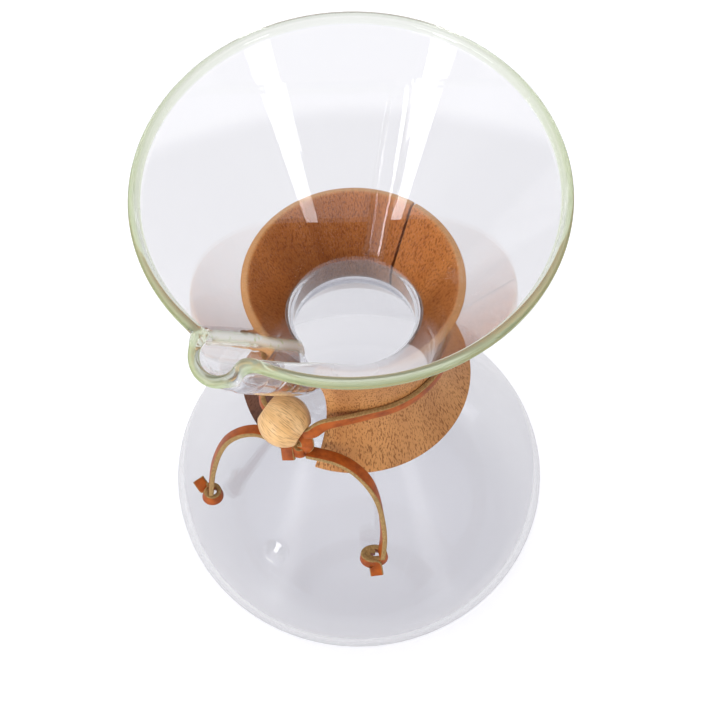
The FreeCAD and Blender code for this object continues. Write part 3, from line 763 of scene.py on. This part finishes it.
# the lace wound about itself: a slack ring on edge, opening outwards into a cut tail
def wrap(name, knot):
    middle = Vector(knot["middle"])
    turn = math.radians(knot["turn"])
    wide = Vector((math.cos(turn), math.sin(turn), 0))
    deep = Vector((-wide.y, wide.x, 0))
    points, outward = [], []
    for i in range(knot["steps"] + 1):
        share = i / knot["steps"]
        angle = math.radians(knot["from"] + knot["sweep"] * share)
        swell = knot["tight"] + (1 - knot["tight"]) * share
        side = (wide * (knot["wide"] * swell * math.cos(angle))
                + deep * (knot["deep"] * swell * math.sin(angle)))
        points.append(middle + side + Vector((0, 0, knot["rise"] * (share - 0.5))))
        outward.append(Vector((side.x, side.y, knot["tip"])).normalized())
    tail = middle + Vector(knot["tail"])
    points += [points[-1].lerp(tail, knot["tailBend"]), tail]
    outward += [Vector(knot["tailFace"]).normalized()] * 2
    return strap(name, smoothLine(points, name + "Route"), outward, knot["width"])


endKnots = {
    "laceEndKnotLeft": {
        "node": "tie_end_knot_left", "middle": (-27.4, -49.4, 64.4), "turn": 35.0,
        "wide": 3.1, "deep": 3.0, "from": 75.0, "sweep": 430.0, "tight": 0.7, "steps": 18,
        "rise": 0.8, "tip": 0.5, "width": 4.2,
        "tail": (-6.4, 0.9, 2.6), "tailBend": 0.55, "tailFace": (0.1, -0.35, 0.9)},
    "laceEndKnotRight": {
        "node": "tie_end_knot_right", "middle": (34.4, -41.1, 70.9), "turn": 35.0,
        "wide": 4.6, "deep": 3.2, "from": 90.0, "sweep": 540.0, "tight": 0.5, "steps": 24,
        "rise": 0.6, "tip": 0.4, "width": 4.4,
        "tail": (3.7, -4.4, -2.9), "tailBend": 0.55, "tailFace": (0.35, -0.6, 0.7)},
}
knotPieces = {name: lacePiece(wrap(name, knot), knot["node"]) for name, knot in endKnots.items()}

# the main knot: a strand that drops from the bead's right mouth, a wrap and a cut stub
mainKnot = {
    "middle": (3.6, -38.7, 113.2), "turn": 35.0,
    "wide": 1.9, "deep": 1.9, "from": 130.0, "sweep": 380.0, "tight": 0.9, "steps": 16,
    "rise": 0.5, "tip": 0.5, "width": 3.8,
    "tail": (-2.6, -1.0, -0.6), "tailBend": 0.55, "tailFace": (-0.3, -0.8, 0.5),
    "drop": [beadPlace(bead["mouth"] - 2.6, 0, -0.4), beadPlace(bead["mouth"] - 0.4, 0, -0.8),
             beadPlace(bead["mouth"] + 1.3, 0.2, -2.6), (6.9, -38.7, 117.2), (4.8, -38.6, 114.0)],
    "dropFaces": [(0.3, -0.5, 0.8), (0.6, -0.6, 0.5), (0.6, -0.8, 0.1), (0.2, -0.9, 0.2)],
    "stub": [(1.9, -38.4, 113.5), (-0.6, -39.0, 114.1), (-0.1, -40.4, 113.5), (0.6, -41.4, 112.3),
             (2.0, -42.8, 110.0)],
    "stubFaces": [(0.0, -0.3, 1.0), (0.0, -0.6, 0.87), (0.0, -0.6, 0.87)],
}


def makeMainKnot():
    drop = strap("laceDrop", smoothLine(mainKnot["drop"], "dropRoute"), mainKnot["dropFaces"])
    stub = strap("laceStub", smoothLine(mainKnot["stub"], "stubRoute"), mainKnot["stubFaces"])
    return joined("laceKnot", [drop, wrap("laceWrap", mainKnot), stub])


lacePiece(makeMainKnot(), "tie_knot")
print("knots made")

# the free ends' routes, and which way their smooth sides look, from the main knot to their own knots
freeEnds = {
    "left": {
        "route": [(0.9, -39.3, 112.4), (-4.2, -39.7, 112.3), (-10.1, -40.3, 113.9),
                  (-15.6, -43.1, 112.5), (-20.0, -46.0, 107.8), (-23.0, -47.2, 99.5),
                  (-25.2, -48.2, 89.5), (-26.9, -48.9, 78.5), (-27.6, -49.5, 66.6)],
        "faces": [(-0.1, 0.05, 1.0), (-0.15, 0.1, 1.0), (-0.55, 0.0, 0.8), (-0.82, -0.35, 0.3),
                  (-0.84, -0.54, 0.03), (-0.82, -0.57, 0.0)]},
    "right": {
        "route": [(6.7, -38.4, 113.0), (11.4, -37.2, 114.0), (17.0, -35.6, 114.2),
                  (22.6, -34.8, 112.6), (28.0, -35.0, 109.4), (31.6, -35.4, 103.2),
                  (33.6, -35.9, 95.0), (35.4, -37.2, 86.5), (36.4, -38.6, 79.5), (36.6, -40.4, 72.6)],
        "faces": [(0.05, 0.0, 1.0), (0.1, 0.1, 1.0), (0.3, 0.25, 0.9), (0.62, 0.6, 0.42),
                  (0.69, 0.73, 0.12), (0.69, 0.73, 0.0)]},
}
for side, end in freeEnds.items():
    line = smoothLine(end["route"], side + "EndRoute")
    piece = strap("laceEnd" + side.capitalize(), line, end["faces"])
    lacePiece(piece, "tie_end_" + side)


# a pale floor and a white room for the glass to show
room = {
    "floorCool": (0.89, 0.89, 0.92), "floorWarm": (0.92, 0.92, 0.935), "floorRoughness": 0.4,
    "floorSize": 4.0, "floorDrop": -0.0002, "cloudScale": 3.0,
    # how much paler the floor is shown: near and far, under the object, in reflections, to the camera
    "paleFrom": 0.172, "paleTo": 0.184, "nearLift": 0.12, "farLift": 0.25,
    "middleFrom": 0.01, "middleTo": 0.062, "middleLift": 0.16, "mirrorShare": 0.4,
    "cameraLift": 0.38, "floorGlow": (0.98, 0.98, 1.0, 1),
    # the walls' light from the horizon to the top, and the darker wall behind the camera
    "horizon": 0.32, "zenith": 0.72, "zenithFrom": 0.9, "air": (0.985, 0.985, 1.0, 1),
    "darkWall": (0.573, -0.819, 0.0), "wallRange": (0.35, 0.6),
}


def makeFloor():
    form = bmesh.new()
    bmesh.ops.create_grid(form, x_segments=8, y_segments=8, size=room["floorSize"])
    bmesh.ops.translate(form, vec=(0, 0, room["floorDrop"]), verts=form.verts)
    material, tree, shader = newMaterial("paleFloor")
    shader.inputs["Roughness"].default_value = room["floorRoughness"]
    place = objectPlace(tree)
    tree.links.new(mixColours(tree, clouds(tree, place, room["cloudScale"]), room["floorCool"],
                              room["floorWarm"]), shader.inputs["Base Color"])
    # the floor is shown paler than it is lit, most of all away from the object
    away = addNode(tree, "ShaderNodeVectorMath", {"operation": "LENGTH"}, {0: place}).outputs["Value"]
    path = addNode(tree, "ShaderNodeLightPath")
    lift = maths(tree, "ADD",
                 spread(tree, away, room["paleFrom"], room["paleTo"], room["nearLift"],
                        room["farLift"], smooth=True),
                 spread(tree, away, room["middleFrom"], room["middleTo"], room["middleLift"], 0.0,
                        smooth=True))
    inGlass = maths(tree, "MAXIMUM", path.outputs["Is Transmission Ray"],
                    maths(tree, "MULTIPLY", path.outputs["Is Glossy Ray"], room["mirrorShare"]))
    shown = maths(tree, "MAXIMUM", maths(tree, "MULTIPLY", lift, inGlass),
                  maths(tree, "MULTIPLY", path.outputs["Is Camera Ray"], room["cameraLift"]))
    glow = addNode(tree, "ShaderNodeEmission", {"Color": room["floorGlow"]}, {"Strength": shown})
    both = addNode(tree, "ShaderNodeAddShader",
                   links={0: shader.outputs["BSDF"], 1: glow.outputs["Emission"]})
    tree.links.new(both.outputs["Shader"], tree.nodes["Material Output"].inputs["Surface"])
    floor = finishPiece("floor", form, material)


def makeWorld():
    world = bpy.data.worlds.new("room")
    bpy.context.scene.world = world
    world.use_nodes = True
    tree = world.node_tree
    back = tree.nodes["Background"]
    way = addNode(tree, "ShaderNodeTexCoord").outputs["Generated"]
    split = addNode(tree, "ShaderNodeSeparateXYZ", links={"Vector": way})
    lit = spread(tree, maths(tree, "ABSOLUTE", split.outputs["Z"]), 0.0, room["zenithFrom"],
                 room["horizon"], room["zenith"])
    path = addNode(tree, "ShaderNodeLightPath")
    towards = addNode(tree, "ShaderNodeVectorMath", {"operation": "DOT_PRODUCT"}, {0: way})
    towards.inputs[1].default_value = room["darkWall"]
    white = spread(tree, towards.outputs["Value"], *room["wallRange"], 1.0, 0.0, smooth=True)
    seen = maths(tree, "MAXIMUM", maths(tree, "MULTIPLY", white, path.outputs["Is Glossy Ray"]),
                 maths(tree, "MAXIMUM", path.outputs["Is Camera Ray"],
                       path.outputs["Is Transmission Ray"]))
    back.inputs["Color"].default_value = room["air"]
    tree.links.new(maths(tree, "MAXIMUM", lit, seen), back.inputs["Strength"])


# soft lamps: place, what each points at, width and height, power
lamps = {
    "rightStrip": ((1.16, -0.31, 0.24), (0.0, 0.0, 0.1), (0.24, 0.40), 2.4),
    "leftStrip": ((-0.19, -1.19, 0.24), (0.0, 0.0, 0.1), (0.24, 0.40), 3.6),
    "frontLamp": ((-0.35, -1.25, 0.85), (0.0, 0.0, 0.1), (0.9, 0.5), 5.0),
    "keyLamp": ((-0.45, 0.45, 1.5), (0.0, 0.0, 0.1), (2.0, 2.0), 4.6),
}


def makeLamps():
    for name, (place, aim, size, power) in lamps.items():
        data = bpy.data.lights.new(name, "AREA")
        data.shape = "RECTANGLE"
        data.size, data.size_y = size
        data.energy = power
        lamp = bpy.data.objects.new(name, data)
        lamp.location = place
        lamp.rotation_euler = (Vector(place) - Vector(aim)).to_track_quat("Z", "Y").to_euler()
        bpy.context.collection.objects.link(lamp)


makeFloor()
makeWorld()
makeLamps()
bpy.context.scene.view_settings.view_transform = "Standard"
print("room ready")
